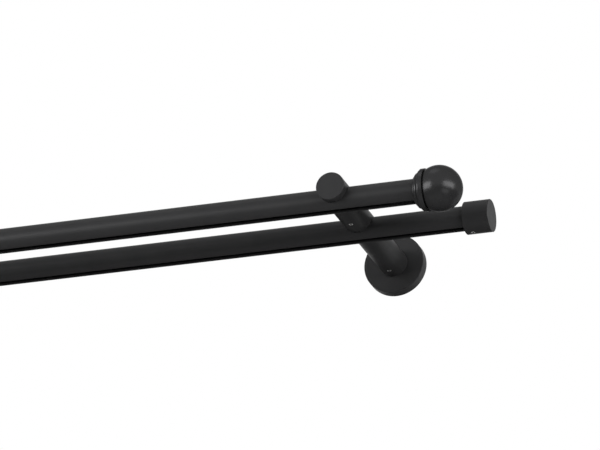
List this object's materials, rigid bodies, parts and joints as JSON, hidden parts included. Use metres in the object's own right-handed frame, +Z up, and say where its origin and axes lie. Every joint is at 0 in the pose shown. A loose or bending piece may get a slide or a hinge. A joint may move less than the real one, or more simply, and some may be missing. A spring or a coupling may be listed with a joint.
{
  "type": "double curtain pole",
  "caption": "Two parallel round poles with a glider slot below, held one in front of the other by round wall arms; balls end the front pole, plain caps the rear one.",
  "frame": {"origin": "on the wall plane, midway between the two brackets, at the height of the arms' axes", "axes": "+X along the poles to the right as seen from the room, +Y into the wall, +Z up"},
  "size_m": [1.086, 0.1768, 0.0502],
  "materials": {
    "black_metal": "matt black powder coat, satin on the ball and its collar",
    "zinc_steel": "zinc plated",
    "screw_steel": "zinc plated, bright",
    "black_nylon": "moulded nylon"
  },
  "bodies": {
    "root": {"front_pole": "black_metal", "rear_pole": "black_metal", "rose_left": "black_metal", "rear_arm_left": "black_metal", "front_arm_left": "black_metal", "finial_collar_left": "black_metal", "finial_ball_left": "black_metal", "end_cap_left": "black_metal", "rose_right": "black_metal", "rear_arm_right": "black_metal", "front_arm_right": "black_metal", "finial_collar_right": "black_metal", "finial_ball_right": "black_metal", "end_cap_right": "black_metal", "wall_plate_left": "zinc_steel", "wall_spigot_left": "zinc_steel", "finial_stud_left": "zinc_steel", "wall_plate_right": "zinc_steel", "wall_spigot_right": "zinc_steel", "finial_stud_right": "zinc_steel", "rear_arm_screw_left": "screw_steel", "front_arm_screw_left": "screw_steel", "finial_screw_left": "screw_steel", "cap_screw_left": "screw_steel", "rear_arm_screw_right": "screw_steel", "front_arm_screw_right": "screw_steel", "finial_screw_right": "screw_steel", "cap_screw_right": "screw_steel", "rear_grip_left": "black_nylon", "front_grip_left": "black_nylon", "pole_stop_left": "black_nylon", "rear_grip_right": "black_nylon", "front_grip_right": "black_nylon", "pole_stop_right": "black_nylon"}
  },
  "joints": []
}
